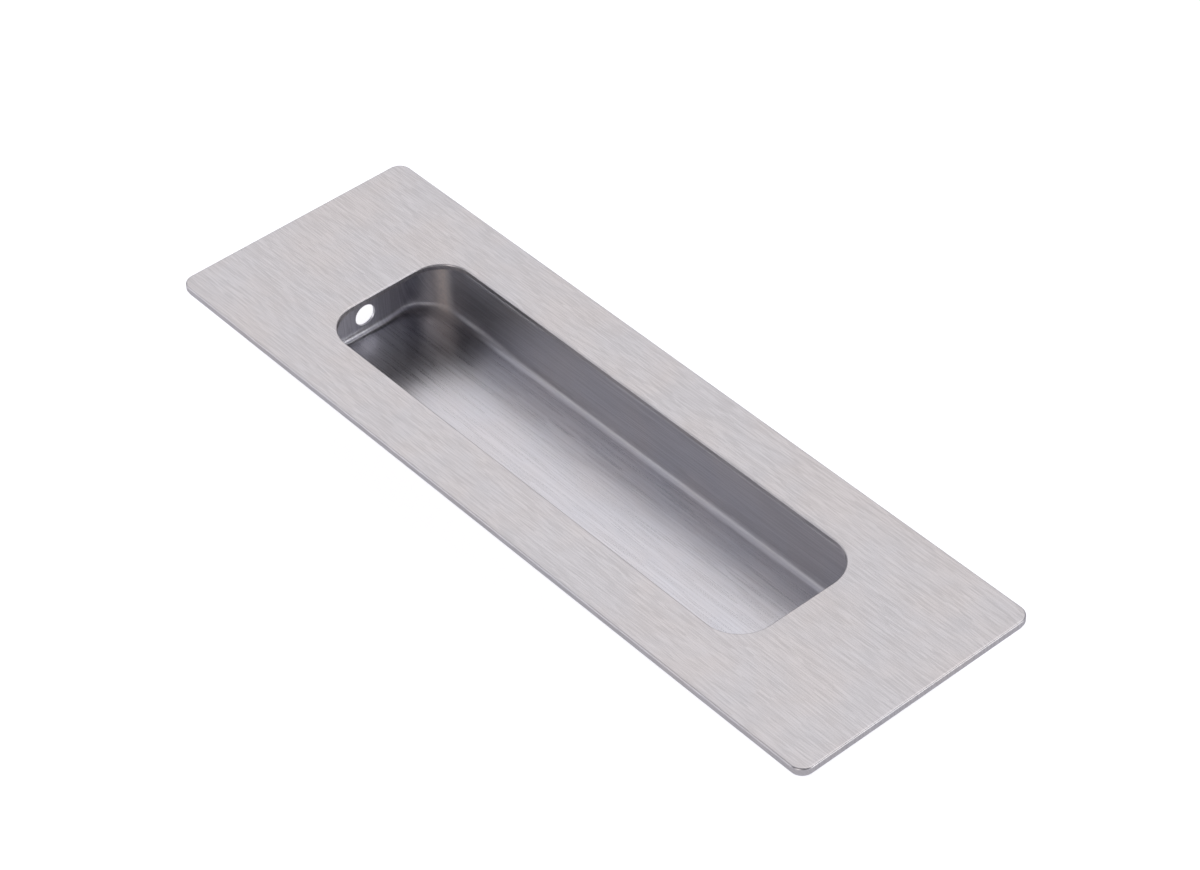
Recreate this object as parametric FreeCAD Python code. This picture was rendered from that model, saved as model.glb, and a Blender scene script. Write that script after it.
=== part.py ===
import FreeCAD, Part
import os
from math import cos, radians, sin

# Recessed pull handle: a flat face plate with a rounded window, and behind it a
# drawn sheet cup that the fingers reach into. Both are stainless steel sheet.
# Millimetres. +X runs along the length, +Z points out of the front face, and the
# origin is the middle of the underside of the cup's floor.

# Face plate
plate_length = 160.0
plate_width = 50.0
plate_thickness = 1.2
plate_corner_radius = 2.5
plate_edge_radius = 0.35      # rounding of the front face's outer edge

# Window through the face plate
window_length = 107.0
window_width = 27.8
window_corner_radius = 7.0
window_edge_radius = 0.3      # rounding of the window's front edge
window_back_bevel = 0.15      # bevel of the window's back edge

# Drawn cup behind the face plate
sheet = 0.6
setback_ends = 6.5            # end walls behind the window's short edges
setback_sides = 0.6           # side walls behind the window's long edges
cup_depth = 12.7              # inside, from the face plate's back to the floor
wall_corner_radius = 8.0      # inside, in plan
floor_corner_radius = 11.5    # of the flat part of the floor, in plan
floor_fillet = 1.5            # inside, between the walls and the floor
draw_radius = 0.6             # behind the flange, where the sheet turns down
flange_inset = 0.3            # flange's edge inside the face plate's edge

# Screw holes, one through each end wall
screw_hole_diameter = 4.3
screw_hole_land = 0.15        # flat wall between the hole and the floor fillet

# How the shapes are made
least_straight = 0.5          # shortest straight run kept between two corners
fillet_sections = 6           # steps of the lofted fillet round the floor
flat = 1e-4                   # how far an edge may leave the plane it is in

# Sizes that follow from the ones above
cup_length = window_length + 2 * setback_ends
cup_width = window_width + 2 * setback_sides
flange_top = sheet + cup_depth
flange_back = flange_top - sheet
front = flange_top + plate_thickness
screw_hole_height = sheet + floor_fillet + screw_hole_land + screw_hole_diameter / 2

up = FreeCAD.Vector(0, 0, 1)
along = FreeCAD.Vector(1, 0, 0)


def rounded_rectangle(length, width, corner, z):
    """Closed wire round the Z axis. A corner is limited by the shorter side."""
    corner = min(corner, (min(length, width) - least_straight) / 2)
    x = length / 2 - corner
    y = width / 2 - corner
    arcs = []
    for centre_x, centre_y, start in ((x, y, 0), (-x, y, 90), (-x, -y, 180), (x, -y, 270)):
        circle = Part.Circle(FreeCAD.Vector(centre_x, centre_y, z), up, corner)
        arcs.append(circle.toShape(radians(start), radians(start + 90)))
    edges = []
    for arc, following in zip(arcs, arcs[1:] + arcs[:1]):
        edges.append(arc)
        edges.append(Part.makeLine(arc.lastVertex().Point, following.firstVertex().Point))
    return Part.Wire(edges)


def slab(length, width, corner, bottom, top):
    """Flat block with rounded corners, from one height to another."""
    outline = Part.Face(rounded_rectangle(length, width, corner, bottom))
    return outline.extrude(up * (top - bottom))


def edges_at(shape, z):
    """Edges that lie at one height."""
    found = []
    for edge in shape.Edges:
        box = edge.BoundBox
        if max(abs(box.ZMin - z), abs(box.ZMax - z)) < flat:
            found.append(edge)
    return found


def edges_round_opening(shape, z, length, width):
    """Edges at one height that lie nearer to an opening than to the plate's edge."""
    limit_x = (length + plate_length) / 4
    limit_y = (width + plate_width) / 4
    found = []
    for edge in edges_at(shape, z):
        box = edge.BoundBox
        if max(-box.XMin, box.XMax) < limit_x and max(-box.YMin, box.YMax) < limit_y:
            found.append(edge)
    return found


def cup_form(growth):
    """The cup's inside, or its outside when grown by the sheet, up to the flange.

    The fillet round the floor is a loft of rounded rectangles. It is a quarter
    circle along the straight walls, and widens in the corners, where the
    floor's own corner radius is larger than the walls'.
    """
    length = cup_length + 2 * growth
    width = cup_width + 2 * growth
    wall_corner = wall_corner_radius + growth
    fillet = floor_fillet + growth
    floor = sheet - growth
    sections = []
    for step in range(fillet_sections + 1):
        angle = radians(90 * step / fillet_sections)
        inset = fillet * (1 - cos(angle))
        corner = wall_corner + (floor_corner_radius - wall_corner) * (1 - cos(angle))
        height = floor + fillet * (1 - sin(angle))
        sections.append(rounded_rectangle(length - 2 * inset, width - 2 * inset, corner, height))
    basin = Part.makeLoft(sections, True)
    walls = slab(length, width, wall_corner, floor + fillet, flange_top)
    return walls.fuse(basin).removeSplitter()


def make_cup():
    """Drawn cup: flange, walls and floor of one sheet, with its screw holes."""
    flange = slab(plate_length - 2 * flange_inset, plate_width - 2 * flange_inset,
                  plate_corner_radius - flange_inset, flange_back, flange_top)
    cup = flange.fuse(cup_form(sheet)).removeSplitter()
    cup = cup.makeFillet(draw_radius, edges_round_opening(cup, flange_back, cup_length, cup_width))
    cup = cup.cut(cup_form(0))
    mouth = edges_round_opening(cup, flange_top, cup_length, cup_width)
    cup = cup.makeFillet(draw_radius + sheet, mouth)
    drill_start = FreeCAD.Vector(-plate_length / 2, 0, screw_hole_height)
    drill = Part.makeCylinder(screw_hole_diameter / 2, plate_length, drill_start, along)
    return cup.cut(drill)


def make_face_plate():
    """Flat plate with rounded front edges and the window through it."""
    plate = slab(plate_length, plate_width, plate_corner_radius, flange_top, front)
    plate = plate.makeFillet(plate_edge_radius, edges_at(plate, front))
    window = slab(window_length, window_width, window_corner_radius, flange_top, front)
    plate = plate.cut(window)
    window_front = edges_round_opening(plate, front, window_length, window_width)
    plate = plate.makeFillet(window_edge_radius, window_front)
    window_back = edges_round_opening(plate, flange_top, window_length, window_width)
    return plate.makeChamfer(window_back_bevel, window_back)


os.makedirs("parts", exist_ok=True)
for node, shape in (("face_plate", make_face_plate()), ("cup", make_cup())):
    print(node, "valid", shape.isValid(), "solids", len(shape.Solids), "volume", round(shape.Volume, 2))
    shape.exportStep("parts/" + node + ".step")
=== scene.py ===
from math import copysign, cos, exp, pi, radians, sin

import bmesh
import bpy
from mathutils import Matrix, Vector


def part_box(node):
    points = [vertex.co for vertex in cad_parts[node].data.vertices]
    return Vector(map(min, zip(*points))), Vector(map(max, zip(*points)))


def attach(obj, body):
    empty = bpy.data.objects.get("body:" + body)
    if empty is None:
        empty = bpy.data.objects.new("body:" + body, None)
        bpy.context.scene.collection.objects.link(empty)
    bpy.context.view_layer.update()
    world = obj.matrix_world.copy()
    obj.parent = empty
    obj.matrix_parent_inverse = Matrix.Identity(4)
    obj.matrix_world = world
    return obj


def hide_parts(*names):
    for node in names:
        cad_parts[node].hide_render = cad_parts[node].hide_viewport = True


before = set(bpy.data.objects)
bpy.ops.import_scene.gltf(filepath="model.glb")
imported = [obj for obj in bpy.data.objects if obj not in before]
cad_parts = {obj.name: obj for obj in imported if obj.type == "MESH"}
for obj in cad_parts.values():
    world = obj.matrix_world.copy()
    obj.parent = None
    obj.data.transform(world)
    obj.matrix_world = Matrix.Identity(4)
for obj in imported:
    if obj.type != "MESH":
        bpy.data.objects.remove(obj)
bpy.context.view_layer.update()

# Drawn cup: one 0.6 mm stainless steel sheet, pressed into a finger recess with
# a flat flange round its mouth. It is spot-welded behind the face plate. Its
# floor fillet widens in the corners, and each end wall has a screw hole.
MM = 0.001
sheet = 0.6
cup_length = 120.0
cup_width = 29.0
wall_corner = 8.0
floor_corner = 11.5
floor_fillet = 1.5
draw_radius = 0.6
flange_corner = 2.2
screw_hole_radius = 2.15
screw_hole_height = 4.4
hole_edge_bevel = 0.08
CORNER_STEPS = 20
ROUND_STEPS = 8
HOLE_STEPS = 64
SHARP_ANGLE = radians(35)
SAME_PLACE = 1e-5             # metres
# Where round a corner the scuff and its painted highlight are strongest, as the X
# part of the direction outward, and how far they reach to both sides of that
SCUFF_AND_HIGHLIGHT_MIDDLE = 0.38
SCUFF_AND_HIGHLIGHT_SPREAD = 0.20

cup_low, cup_high = (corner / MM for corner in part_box("cup"))
flange_length = cup_high.x - cup_low.x
flange_width = cup_high.y - cup_low.y
flange_top = cup_high.z


def quarter(steps):
    """Angles from 0 to 90 degrees."""
    return [pi / 2 * step / steps for step in range(steps + 1)]


def add_outline(bm, length, width, corner, height, lift, scuff_and_highlight_level):
    """Adds a rectangle with rounded corners as a loop of edges, in millimetres.

    Each point also gets its place on the flat sheet, before it was drawn: its
    place in plan, moved outward by lift. Its scuff_and_highlight is 1 where the sheet
    was drawn round a corner and rubbed most, in a band about 22 degrees from the long
    wall: there the steel is rougher, and lighter with a painted highlight.
    """
    corners = bmesh.ops.create_grid(bm, x_segments=1, y_segments=1, size=0.5)["verts"]
    bmesh.ops.scale(bm, verts=corners, vec=(length, width, 1))
    bmesh.ops.translate(bm, verts=corners, vec=(0, 0, height))
    bmesh.ops.bevel(bm, geom=corners, offset=corner, offset_type="OFFSET", affect="VERTICES",
                    segments=CORNER_STEPS, profile=0.5, material=-1)
    outline = bm.faces[:][-1]
    edges = outline.edges[:]
    on_sheet = bm.verts.layers.float_vector["on_sheet"]
    scuff_and_highlight = bm.verts.layers.float["scuff_and_highlight"]
    for vert in outline.verts:
        centre = Vector((copysign(length / 2 - corner, vert.co.x),
                         copysign(width / 2 - corner, vert.co.y)))
        outward = (vert.co.xy - centre).normalized()
        vert[on_sheet] = (vert.co.xy + lift * outward).to_3d()
        # Mask for the corners' rougher scuff and their painted highlight, strongest in a band
        # round each corner
        vert[scuff_and_highlight] = scuff_and_highlight_level * exp(-((abs(outward.x) - SCUFF_AND_HIGHLIGHT_MIDDLE) / SCUFF_AND_HIGHLIGHT_SPREAD) ** 2)
    bmesh.ops.delete(bm, geom=[outline], context="FACES_ONLY")
    return edges


def new_shell(front_rings, back_rings, filled):
    """Skins the outlines of a sheet's front and of its back, each from the middle outward.

    The two skins are joined at their last outline. At their first, each is
    filled with a flat face, or they are joined there too, round an opening.
    """
    bm = bmesh.new()
    bm.verts.layers.float_vector.new("on_sheet")
    bm.verts.layers.float.new("scuff_and_highlight")
    front_loops = [add_outline(bm, *ring) for ring in front_rings]
    back_loops = [add_outline(bm, *ring) for ring in back_rings]
    pairs = list(zip(front_loops, front_loops[1:])) + list(zip(back_loops, back_loops[1:]))
    pairs.append((front_loops[-1], back_loops[-1]))
    if not filled:
        pairs.append((front_loops[0], back_loops[0]))
    for one, other in pairs:
        bmesh.ops.bridge_loops(bm, edges=one + other)
    if filled:
        bmesh.ops.holes_fill(bm, edges=front_loops[0] + back_loops[0])
    bmesh.ops.recalc_face_normals(bm, faces=bm.faces)
    return bm


def finish_piece(name, bm):
    """Makes the object in metres, with the sheet's coordinates as its UV map."""
    uv = bm.loops.layers.uv.new("sheet")
    on_sheet = bm.verts.layers.float_vector["on_sheet"]
    for face in bm.faces:
        face.smooth = True
        for loop in face.loops:
            loop[uv].uv = loop.vert[on_sheet].xy
    for edge in bm.edges:
        edge.smooth = edge.calc_face_angle(0) < SHARP_ANGLE
    bmesh.ops.scale(bm, verts=bm.verts, vec=(MM, MM, MM))
    mesh = bpy.data.meshes.new(name)
    bm.to_mesh(mesh)
    bm.free()
    piece = bpy.data.objects.new(name, mesh)
    bpy.context.scene.collection.objects.link(piece)
    flat_faces = piece.modifiers.new("flat_faces", "WEIGHTED_NORMAL")
    flat_faces.keep_sharp = True
    flat_faces.weight = 100
    return piece


def cup_rings(growth):
    """Outlines of the cup's inside, or of its outside when grown, from floor to flange.

    Only the inside was rubbed, as the punch pressed on it, and only the inside
    gets the painted highlight.
    """
    rubbed_and_highlit = 0 if growth else 1
    fillet = floor_fillet + growth
    corner_at_wall = wall_corner + growth
    floor = sheet - growth
    rings = []
    for angle in reversed(quarter(ROUND_STEPS)):
        inset = fillet * (1 - cos(angle))
        corner = corner_at_wall + (floor_corner - corner_at_wall) * (1 - cos(angle))
        rise = fillet * (1 - sin(angle))
        rings.append((cup_length + 2 * growth - 2 * inset, cup_width + 2 * growth - 2 * inset,
                      corner, floor + rise, rise, rubbed_and_highlit * cos(angle)))
    mouth = draw_radius + sheet - growth
    top = flange_top - growth
    for angle in quarter(ROUND_STEPS):
        outset = mouth * (1 - cos(angle))
        height = top - mouth * (1 - sin(angle))
        rings.append((cup_length + 2 * growth + 2 * outset, cup_width + 2 * growth + 2 * outset,
                      corner_at_wall + outset, height, height - floor, rubbed_and_highlit * cos(angle)))
    return rings


def drill(piece, radius, height):
    """Cuts a round hole along X through both end walls."""
    bm = bmesh.new()
    bmesh.ops.create_cone(bm, cap_ends=True, segments=HOLE_STEPS, radius1=radius * MM,
                          radius2=radius * MM, depth=2 * cup_length * MM,
                          matrix=Matrix.Rotation(pi / 2, 4, "Y"))
    bmesh.ops.translate(bm, verts=bm.verts, vec=(0, 0, height * MM))
    mesh = bpy.data.meshes.new("drill")
    bm.to_mesh(mesh)
    bm.free()
    cutter = bpy.data.objects.new("drill", mesh)
    bpy.context.scene.collection.objects.link(cutter)
    cut = piece.modifiers.new("screw_hole", "BOOLEAN")
    cut.operation = "DIFFERENCE"
    cut.solver = "EXACT"
    cut.object = cutter
    piece.modifiers.move(piece.modifiers.find("screw_hole"), 0)
    with bpy.context.temp_override(object=piece, active_object=piece):
        bpy.ops.object.modifier_apply(modifier="screw_hole")
    bpy.data.objects.remove(cutter)


flange_front, flange_back = [(flange_length, flange_width, flange_corner, height, flange_top, 0)
                             for height in (flange_top, flange_top - sheet)]
cup = finish_piece("drawn_cup", new_shell(cup_rings(0) + [flange_front],
                                          cup_rings(sheet) + [flange_back], filled=True))
drill(cup, screw_hole_radius, screw_hole_height)

# The rims of the screw holes are broken a little, so that they catch the light
bm = bmesh.new()
bm.from_mesh(cup.data)
hole_edges = []
for edge in bm.edges:
    reach = [Vector((vert.co.y, vert.co.z - screw_hole_height * MM)).length
             for vert in edge.verts]
    on_hole = max(abs(value - screw_hole_radius * MM) for value in reach) < SAME_PLACE
    round_it = abs(edge.verts[0].co.x - edge.verts[1].co.x) < SAME_PLACE
    if on_hole and round_it:
        hole_edges.append(edge)
bmesh.ops.bevel(bm, geom=hole_edges, offset=hole_edge_bevel * MM, offset_type="OFFSET",
                affect="EDGES", segments=2, profile=0.5, material=-1)
bm.to_mesh(cup.data)
bm.free()

# Brushed steel: widths of its patterns in millimetres, and how strongly they show
GRAIN = 0.14                  # the steel's own grain, drawn coarser so that it shows
GRAIN_SHARE = 0.55            # of the grain against the brushed lines
PATCH = 16.0                  # soft patches of tint
MARK = 0.8                    # marks within a scuffed corner
PATTERN_LOW = 0.3             # the middle range of a pattern, which is spread out
PATTERN_HIGH = 0.7
ROUGHNESS_SPREAD = 0.04       # to both sides, from line to line
GROOVE = 0.00001              # depth of a brushed line, in metres
QUARTER_TURN = 0.25           # turns the highlight's stretch against the sheet's length
# Near-white warm tint that the rubbed corners are lightened towards: a painted highlight
PAINTED_HIGHLIGHT_TINT = "#FCF4EF"
SCUFFED_ROUGHNESS = 0.75


def add_node(tree, kind, inputs=None, **settings):
    """Adds a node with its settings. An input takes a value or another node's output."""
    node = tree.nodes.new(kind)
    for name, value in settings.items():
        setattr(node, name, value)
    for name, value in (inputs or {}).items():
        if isinstance(value, bpy.types.NodeSocket):
            tree.links.new(value, node.inputs[name])
        else:
            node.inputs[name].default_value = value
    return node


def linear(hex_colour):
    """sRGB hex to the linear colour that the shader takes."""
    parts = [int(hex_colour[start:start + 2], 16) / 255 for start in (1, 3, 5)]
    return [part / 12.92 if part <= 0.04045 else ((part + 0.055) / 1.055) ** 2.4
            for part in parts] + [1]


def brushed_steel(name, cool, warm, contrast, line_spacing, stroke_length, roughness,
                  anisotropy, scuff_and_highlight_share=0.0):
    """Stainless steel, belt-brushed along the length, seen as fine satin lines.

    Real lines are about 0.05 mm apart. They are drawn coarser, so that they
    show: long narrow cells, each of one tone, over the steel's fine even grain.
    Heat and handling tint the steel a little, in soft patches.
    Where the sheet is drawn round a corner, the tool scuffs it: there it is
    rougher, and lighter with a painted highlight, by the share that
    scuff_and_highlight_share gives.
    """
    material = bpy.data.materials.new(name)
    material.use_nodes = True
    tree = material.node_tree
    tree.nodes.clear()
    place = add_node(tree, "ShaderNodeUVMap", uv_map="sheet").outputs["UV"]
    stretched = add_node(tree, "ShaderNodeMapping", {
        "Vector": place, "Scale": (1 / stroke_length, 1 / line_spacing, 1)}).outputs["Vector"]
    strokes = add_node(tree, "ShaderNodeTexVoronoi", {
        "Vector": stretched, "Scale": 1.0}, voronoi_dimensions="2D").outputs["Color"]
    grain = add_node(tree, "ShaderNodeTexNoise", {
        "Vector": place, "Scale": 1 / GRAIN, "Detail": 1.0, "Roughness": 0.5},
        noise_dimensions="2D").outputs["Fac"]
    lines = add_node(tree, "ShaderNodeMix", {0: GRAIN_SHARE, 2: strokes, 3: grain},
                     data_type="FLOAT").outputs[0]
    patches = add_node(tree, "ShaderNodeTexNoise", {
        "Vector": place, "Scale": 1 / PATCH, "Detail": 3.0, "Roughness": 0.6},
        noise_dimensions="2D").outputs["Fac"]
    warmth = add_node(tree, "ShaderNodeMapRange", {
        "Value": patches, "From Min": 0.35, "From Max": 0.65}).outputs["Result"]
    tint = add_node(tree, "ShaderNodeMix", {0: warmth, 6: linear(cool), 7: linear(warm)},
                    data_type="RGBA").outputs[2]
    shade = add_node(tree, "ShaderNodeMapRange", {
        "Value": lines, "From Min": PATTERN_LOW, "From Max": PATTERN_HIGH,
        "To Min": 1 - contrast, "To Max": 1 + contrast}).outputs["Result"]
    colour = add_node(tree, "ShaderNodeMix", {0: 1.0, 6: tint, 7: shade}, data_type="RGBA",
                      blend_type="MULTIPLY").outputs[2]
    rough = add_node(tree, "ShaderNodeMapRange", {
        "Value": lines, "From Min": PATTERN_LOW, "From Max": PATTERN_HIGH,
        "To Min": roughness - ROUGHNESS_SPREAD,
        "To Max": roughness + ROUGHNESS_SPREAD}).outputs["Result"]
    # In the rubbed corners the steel is rougher, and its colour is lightened in marks towards a
    # near-white warm tint: a painted highlight
    if scuff_and_highlight_share:
        rubbed_and_highlit = add_node(tree, "ShaderNodeAttribute", attribute_name="scuff_and_highlight").outputs["Fac"]
        marks = add_node(tree, "ShaderNodeTexNoise", {
            "Vector": place, "Scale": 1 / MARK, "Detail": 4.0, "Roughness": 0.7},
            noise_dimensions="2D").outputs["Fac"]
        patchy_highlight = add_node(tree, "ShaderNodeMapRange", {
            "Value": marks, "From Min": PATTERN_LOW, "From Max": PATTERN_HIGH,
            "To Min": 0.7 * scuff_and_highlight_share, "To Max": scuff_and_highlight_share}).outputs["Result"]
        painted_highlight = add_node(tree, "ShaderNodeMath", {0: rubbed_and_highlit, 1: patchy_highlight},
                        operation="MULTIPLY").outputs[0]
        colour = add_node(tree, "ShaderNodeMix", {0: painted_highlight, 6: colour, 7: linear(PAINTED_HIGHLIGHT_TINT)},
                          data_type="RGBA").outputs[2]
        dulled = add_node(tree, "ShaderNodeMath", {0: rubbed_and_highlit, 1: 0.4},
                          operation="POWER").outputs[0]
        rough = add_node(tree, "ShaderNodeMix", {0: dulled, 2: rough, 3: SCUFFED_ROUGHNESS},
                         data_type="FLOAT").outputs[0]
    bump = add_node(tree, "ShaderNodeBump", {
        "Strength": 0.15, "Distance": GROOVE, "Height": lines}).outputs["Normal"]
    tangent = add_node(tree, "ShaderNodeTangent", direction_type="UV_MAP", uv_map="sheet")
    shader = add_node(tree, "ShaderNodeBsdfPrincipled", {
        "Base Color": colour, "Metallic": 1.0, "Roughness": rough, "Normal": bump,
        "Anisotropic": anisotropy, "Anisotropic Rotation": QUARTER_TURN,
        "Tangent": tangent.outputs["Tangent"]})
    add_node(tree, "ShaderNodeOutputMaterial", {"Surface": shader.outputs["BSDF"]})
    return material


# The cup's inside corners get a rougher scuff and a painted highlight
cup.data.materials.append(brushed_steel(
    "satin_drawn_stainless_steel", "#CBCBD0", "#CDCBCE", contrast=0.13, line_spacing=0.20,
    stroke_length=9.0, roughness=0.31, anisotropy=0.35, scuff_and_highlight_share=1.0))
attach(cup, "root")
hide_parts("cup")


# Face plate: a flat 1.2 mm stainless steel plate with a punched window. Its
# front is belt-brushed along the length, and its front edges are rounded over.
# It lies on the cup's flange, which is set in a little from its edge.
window_length = 107.0
window_width = 27.8
window_corner = 7.0
plate_corner = 2.5
plate_edge_radius = 0.35
window_edge_radius = 0.3
window_back_bevel = 0.15
EDGE_STEPS = 5

plate_low, plate_high = (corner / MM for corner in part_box("face_plate"))
plate_length = plate_high.x - plate_low.x
plate_width = plate_high.y - plate_low.y
front = plate_high.z
back = plate_low.z

front_rings = [(window_length, window_width, window_corner, back + window_back_bevel,
                back + window_back_bevel - front, 0)]
for angle in quarter(EDGE_STEPS):
    outset = window_edge_radius * (1 - cos(angle))
    drop = window_edge_radius * (1 - sin(angle))
    front_rings.append((window_length + 2 * outset, window_width + 2 * outset,
                        window_corner + outset, front - drop, -drop, 0))
for angle in reversed(quarter(EDGE_STEPS)):
    inset = plate_edge_radius * (1 - cos(angle))
    drop = plate_edge_radius * (1 - sin(angle))
    front_rings.append((plate_length - 2 * inset, plate_width - 2 * inset, plate_corner - inset,
                        front - drop, drop, 0))
back_rings = [(window_length + 2 * window_back_bevel, window_width + 2 * window_back_bevel,
               window_corner + window_back_bevel, back, back - front, 0),
              (plate_length, plate_width, plate_corner, back, front - back, 0)]
face_plate = finish_piece("brushed_face_plate", new_shell(front_rings, back_rings, filled=False))
face_plate.data.materials.append(brushed_steel(
    "satin_brushed_stainless_steel", "#C3C1C3", "#C5C1C1", contrast=0.15, line_spacing=0.12,
    stroke_length=3.0, roughness=0.34, anisotropy=0.4))
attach(face_plate, "root")
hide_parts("face_plate")


# Studio: a white floor that the handle rests on, soft light all round, and the
# camera of the photograph, fitted to the plate's edges. The floor shows white,
# and the steel mirrors it a little darker, as the plate's side in the photograph.
FLOOR_SIZE = 4.0
FLOOR_GLOW = 0.85             # to the camera, on top of the light that the paper reflects
MIRRORED_GLOW = 0.45          # share of that glow which the steel mirrors
floor_bm = bmesh.new()
bmesh.ops.create_grid(floor_bm, x_segments=1, y_segments=1, size=FLOOR_SIZE / 2)
floor_mesh = bpy.data.meshes.new("studio_floor")
floor_bm.to_mesh(floor_mesh)
floor_bm.free()
studio_floor = bpy.data.objects.new("studio_floor", floor_mesh)
bpy.context.scene.collection.objects.link(studio_floor)
floor_material = bpy.data.materials.new("white_paper_sweep")
floor_material.use_nodes = True
tree = floor_material.node_tree
tree.nodes.clear()
rays = add_node(tree, "ShaderNodeLightPath").outputs
mirrored = add_node(tree, "ShaderNodeMath", {
    0: rays["Is Glossy Ray"], 1: rays["Is Transmission Ray"]}, operation="MAXIMUM").outputs[0]
shown = add_node(tree, "ShaderNodeMath", {
    0: mirrored, 1: MIRRORED_GLOW, 2: rays["Is Camera Ray"]}, operation="MULTIPLY_ADD").outputs[0]
level = add_node(tree, "ShaderNodeMath", {0: shown, 1: FLOOR_GLOW},
                 operation="MULTIPLY").outputs[0]
paper = add_node(tree, "ShaderNodeBsdfDiffuse", {"Color": linear("#B4B4BE")}).outputs["BSDF"]
glow = add_node(tree, "ShaderNodeEmission", {"Color": linear("#FFFFFF"), "Strength": level})
mixed = add_node(tree, "ShaderNodeAddShader", {0: paper, 1: glow.outputs["Emission"]}).outputs[0]
add_node(tree, "ShaderNodeOutputMaterial", {"Surface": mixed})
floor_mesh.materials.append(floor_material)

world = bpy.data.worlds.new("soft_studio")
bpy.context.scene.world = world
world.use_nodes = True
tree = world.node_tree
tree.nodes.clear()
direction = add_node(tree, "ShaderNodeTexCoord").outputs["Generated"]
# Dim light from all round, and paler low walls, which fade out upward
surround = (0.075, 0.075, 0.10)
low_walls = (0.50, 0.50, 0.50)
LOW_WALLS_END = 0.40
LOW_WALLS_FULL = 0.12
# Each light area: where it is seen from the handle, where it starts and is full, as
# the cosine of the angle from its middle, and its colour. The first is the one that
# the face plate mirrors to the camera.
areas = (
    ((-0.58, 0.47, 0.665), 0.80, 0.94, (0.99, 0.97, 0.96)),
    ((-0.45, -0.05, 0.89), 0.82, 0.97, (0.30, 0.30, 0.32)),
    ((-0.78, -0.42, 0.46), 0.82, 0.99, (0.48, 0.47, 0.49)),
    ((0.30, -0.86, 0.41), 0.93, 0.985, (2.2, 2.1, 2.05)),
    ((0.12, 0.47, 0.87), 0.90, 0.97, (1.90, 1.88, 1.85)),
    ((0.63, 0.43, 0.64), 0.88, 0.98, (0.22, 0.22, 0.24)),
    ((0.86, 0.47, 0.20), 0.92, 0.98, (2.40, 2.40, 2.40)),
    ((-0.62, -0.76, 0.20), 0.90, 0.98, (1.20, 1.20, 1.20)),
)
height = add_node(tree, "ShaderNodeSeparateXYZ", {0: direction}).outputs["Z"]
low = add_node(tree, "ShaderNodeMapRange", {
    "Value": height, "From Min": LOW_WALLS_END, "From Max": LOW_WALLS_FULL},
               interpolation_type="SMOOTHSTEP").outputs["Result"]
glimmer = add_node(tree, "ShaderNodeVectorMath", {0: low_walls, "Scale": low},
                   operation="SCALE").outputs["Vector"]
total = add_node(tree, "ShaderNodeVectorMath", {0: glimmer, 1: surround},
                 operation="ADD").outputs["Vector"]
for toward, edge, core, colour in areas:
    facing = add_node(tree, "ShaderNodeVectorMath", {
        0: direction, 1: Vector(toward).normalized()}, operation="DOT_PRODUCT").outputs["Value"]
    fade = add_node(tree, "ShaderNodeMapRange", {
        "Value": facing, "From Min": edge, "From Max": core},
        interpolation_type="SMOOTHSTEP").outputs["Result"]
    share = add_node(tree, "ShaderNodeVectorMath", {0: colour, "Scale": fade},
                     operation="SCALE").outputs["Vector"]
    total = add_node(tree, "ShaderNodeVectorMath", {0: total, 1: share},
                     operation="ADD").outputs["Vector"]
studio_light = add_node(tree, "ShaderNodeBackground", {"Color": total, "Strength": 1.0})
white = add_node(tree, "ShaderNodeBackground", {"Color": linear("#FFFFFF"), "Strength": 1.0})
camera_ray = add_node(tree, "ShaderNodeLightPath").outputs["Is Camera Ray"]
mixed = add_node(tree, "ShaderNodeMixShader", {
    0: camera_ray, 1: studio_light.outputs["Background"], 2: white.outputs["Background"]})
add_node(tree, "ShaderNodeOutputWorld", {"Surface": mixed.outputs[0]})

# The camera's place in millimetres and its turn in degrees, as fitted
camera_data = bpy.data.cameras.new("camera")
camera_data.sensor_width = 36.0
camera_data.lens = 106.245
camera_data.clip_end = 10.0
camera = bpy.data.objects.new("camera", camera_data)
camera.location = Vector((342.761, -273.503, 397.559 + front)) * MM
camera.rotation_euler = [radians(angle) for angle in (47.8028, 2.0925, 49.1134)]
bpy.context.scene.collection.objects.link(camera)
bpy.context.scene.camera = camera
bpy.context.scene.view_settings.view_transform = "Standard"
